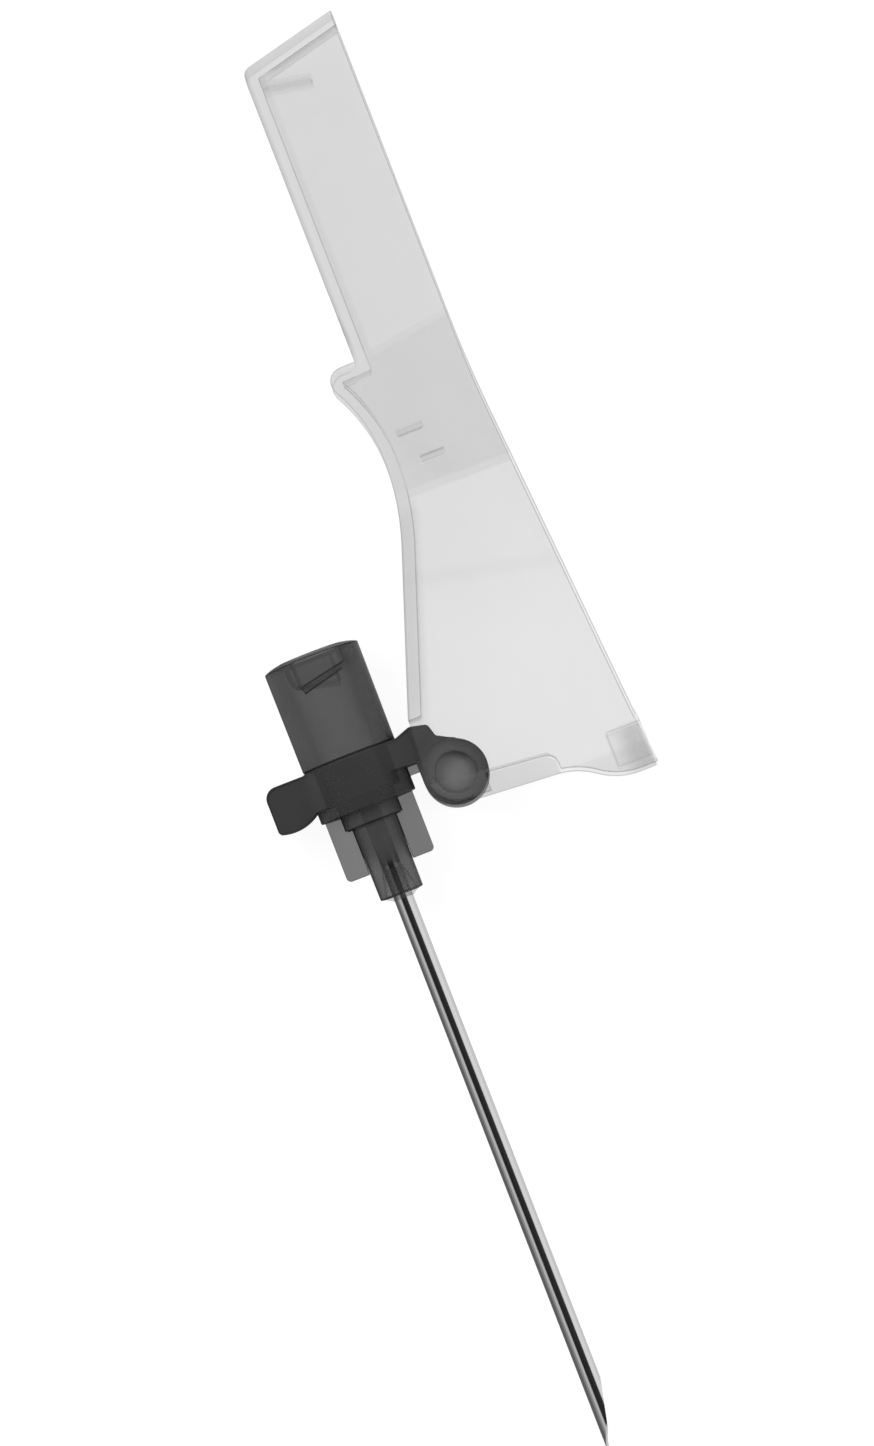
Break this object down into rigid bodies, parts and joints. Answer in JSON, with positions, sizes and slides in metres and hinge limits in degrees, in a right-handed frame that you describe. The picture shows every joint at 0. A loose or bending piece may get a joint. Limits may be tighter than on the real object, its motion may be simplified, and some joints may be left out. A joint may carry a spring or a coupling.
{
  "type": "safety hypodermic needle",
  "caption": "Steel hypodermic needle on a tinted luer lock hub, with a hinged clear safety shield that swings over the tip and closes on a latch wing.",
  "frame": {"origin": "centre of the luer mouth, on the needle's axis", "axes": "+Y out of the luer mouth, so the needle points to -Y; +X from the needle to the hinge; +Z along the hinge, up as the part lies"},
  "size_m": [0.0244, 0.0929, 0.0086],
  "materials": {
    "tinted_plastic": "semi-gloss, translucent charcoal",
    "steel": "polished",
    "cured_adhesive": "clear, glossy",
    "clear_plastic": "clear, glossy"
  },
  "bodies": {
    "needle": {"hub": "tinted_plastic", "collar": "tinted_plastic", "cannula": "steel", "adhesive": "cured_adhesive"},
    "shield": {"shield": "clear_plastic"}
  },
  "joints": [
    {"name": "shield_hinge", "type": "hinge", "parent": "needle", "child": "shield", "pos_m": [0.00605, -0.0103, 0], "axis": [0, 0, -1], "range_deg": [0, 180]}
  ]
}
